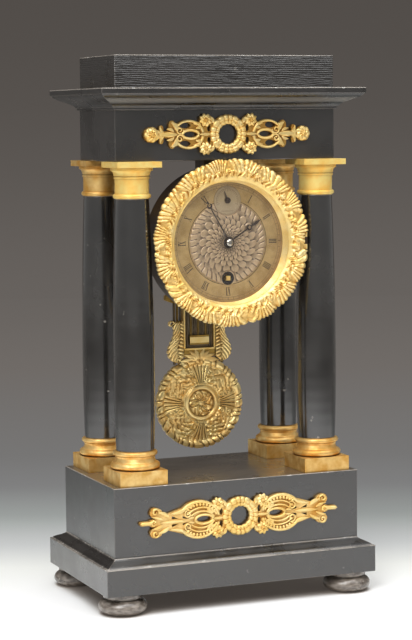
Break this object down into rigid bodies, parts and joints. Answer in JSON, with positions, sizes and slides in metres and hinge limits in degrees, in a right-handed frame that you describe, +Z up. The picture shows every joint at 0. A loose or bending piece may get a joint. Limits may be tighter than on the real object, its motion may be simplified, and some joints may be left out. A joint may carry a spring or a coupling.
{
  "type": "portico clock",
  "caption": "Black wooden portico clock: turned columns with gilt capitals carry an entablature, a round dial hangs between them over a compensated pendulum.",
  "frame": {"origin": "middle of the footprint, on the surface that the feet stand on", "axes": "+Z up, +X to the right of someone facing the dial, +Y to the back; the dial faces -Y"},
  "size_m": [0.2562, 0.1632, 0.4766],
  "materials": {
    "ebonised_wood": "polished black",
    "stained_foot": "turned and polished",
    "gilt_bronze": "mercury gilt",
    "gilt_base": "brushed gilt",
    "gilt_pendulum": "antique gilt",
    "clock_brass": "satin",
    "drum_brown": "dark lacquer",
    "silvered_dial": "engine-turned silvered",
    "blued_steel": "blued",
    "steel": "polished",
    "clear_glass": "clear"
  },
  "bodies": {
    "case": {"base_slab": "ebonised_wood", "plinth_box": "ebonised_wood", "column_shaft_fl": "ebonised_wood", "column_shaft_fr": "ebonised_wood", "column_shaft_rl": "ebonised_wood", "column_shaft_rr": "ebonised_wood", "frieze_box": "ebonised_wood", "cornice": "ebonised_wood", "top_block": "ebonised_wood", "bun_feet": "stained_foot", "column_base_fl": "gilt_base", "column_base_fr": "gilt_base", "column_base_rl": "gilt_base", "column_base_rr": "gilt_base", "capital_fl": "gilt_bronze", "capital_fr": "gilt_bronze", "capital_rl": "gilt_bronze", "capital_rr": "gilt_bronze", "frieze_mount": "gilt_bronze", "plinth_mount": "gilt_bronze", "mount_pins": "gilt_bronze", "sight_ring": "gilt_bronze", "bezel_hinge_pin": "gilt_bronze", "drum_shell": "drum_brown", "drum_hanger": "drum_brown", "dial_plate": "silvered_dial", "column_tie_bolts": "steel", "case_screws": "steel", "movement_screws": "steel", "front_plate": "clock_brass", "back_plate": "clock_brass", "movement_pillars": "clock_brass", "suspension_cock": "clock_brass"},
    "bezel_door": {"bezel": "gilt_bronze", "bezel_glass": "clear_glass"},
    "minute_hand_group": {"cannon_pinion": "steel", "minute_hand": "blued_steel", "hand_collet": "steel"},
    "minute_wheel_group": {"minute_wheel": "clock_brass"},
    "hour_hand_group": {"hour_wheel": "clock_brass", "hour_hand": "blued_steel"},
    "escape_group": {"escape_wheel": "clock_brass"},
    "third_group": {"third_wheel": "clock_brass"},
    "center_group": {"center_wheel": "clock_brass"},
    "intermediate_group": {"intermediate_wheel": "clock_brass"},
    "barrel_group": {"mainspring_barrel": "clock_brass", "mainspring": "blued_steel"},
    "winding_group": {"barrel_arbor": "steel", "ratchet_wheel": "steel"},
    "click_group": {"click": "steel"},
    "anchor_group": {"pallets": "steel", "crutch": "steel"},
    "regulator_group": {"regulator_arbor": "steel", "regulator_hand": "blued_steel"},
    "slide_group": {"suspension_slide": "clock_brass"},
    "pendulum_group": {"suspension_spring": "steel", "pendulum_frame": "gilt_pendulum", "gridiron_rods": "gilt_pendulum", "pendulum_wings": "gilt_pendulum", "pendulum_bob": "gilt_pendulum"}
  },
  "joints": [
    {"name": "bezel_swing", "type": "hinge", "parent": "case", "child": "bezel_door", "pos_m": [0.071, -0.054, 0.3146], "axis": [0, 0, 1], "range_deg": [0, 90]},
    {"name": "hand_set", "type": "hinge", "parent": "case", "child": "minute_hand_group", "pos_m": [0, 0, 0.3146], "axis": [0, 1, 0], "continuous": true},
    {"name": "minute_wheel_turn", "type": "hinge", "parent": "case", "child": "minute_wheel_group", "pos_m": [0.0099, 0, 0.3047], "axis": [0, 1, 0], "continuous": true},
    {"name": "hour_turn", "type": "hinge", "parent": "case", "child": "hour_hand_group", "pos_m": [0, 0, 0.3146], "axis": [0, 1, 0], "continuous": true},
    {"name": "escape_turn", "type": "hinge", "parent": "case", "child": "escape_group", "pos_m": [0, 0, 0.3331], "axis": [0, 1, 0], "continuous": true},
    {"name": "third_turn", "type": "hinge", "parent": "case", "child": "third_group", "pos_m": [-0.01228, 0, 0.32714], "axis": [0, 1, 0], "continuous": true},
    {"name": "center_turn", "type": "hinge", "parent": "case", "child": "center_group", "pos_m": [0, 0, 0.3146], "axis": [0, 1, 0], "continuous": true},
    {"name": "intermediate_turn", "type": "hinge", "parent": "case", "child": "intermediate_group", "pos_m": [0.01234, 0, 0.30029], "axis": [0, 1, 0], "continuous": true},
    {"name": "barrel_turn", "type": "hinge", "parent": "case", "child": "barrel_group", "pos_m": [0, 0, 0.2833], "axis": [0, 1, 0], "continuous": true},
    {"name": "winding", "type": "hinge", "parent": "case", "child": "winding_group", "pos_m": [0, 0, 0.2833], "axis": [0, 1, 0], "range_deg": [0, 1440]},
    {"name": "click_lift", "type": "hinge", "parent": "case", "child": "click_group", "pos_m": [-0.01222, 0, 0.27885], "axis": [0, -1, 0], "range_deg": [0, 14]},
    {"name": "regulator_turn", "type": "hinge", "parent": "case", "child": "regulator_group", "pos_m": [0, 0, 0.3512], "axis": [0, 1, 0], "range_deg": [-100.3, 100.3]},
    {"name": "suspension_lift", "type": "slide", "parent": "case", "child": "slide_group", "axis": [0, 0, 1], "range_m": [-0.0035, 0.0035]},
    {"name": "pendulum_swing", "type": "hinge", "parent": "slide_group", "child": "pendulum_group", "pos_m": [0, 0.025, 0.3437], "axis": [0, 1, 0], "range_deg": [-3, 3]},
    {"name": "crutch_swing", "type": "hinge", "parent": "case", "child": "anchor_group", "pos_m": [0, 0, 0.3437], "axis": [0, 1, 0], "range_deg": [-3, 3]}
  ],
  "couplings": [
    {"joint": "minute_wheel_turn", "follows": "hand_set", "ratio": -0.33333},
    {"joint": "hour_turn", "follows": "hand_set", "ratio": 0.083333},
    {"joint": "escape_turn", "follows": "center_turn", "ratio": 144},
    {"joint": "third_turn", "follows": "center_turn", "ratio": -12},
    {"joint": "intermediate_turn", "follows": "center_turn", "ratio": -0.125},
    {"joint": "barrel_turn", "follows": "center_turn", "ratio": 0.020833},
    {"joint": "regulator_turn", "follows": "suspension_lift", "rad_per_m": -500},
    {"joint": "crutch_swing", "follows": "pendulum_swing", "ratio": 1}
  ]
}
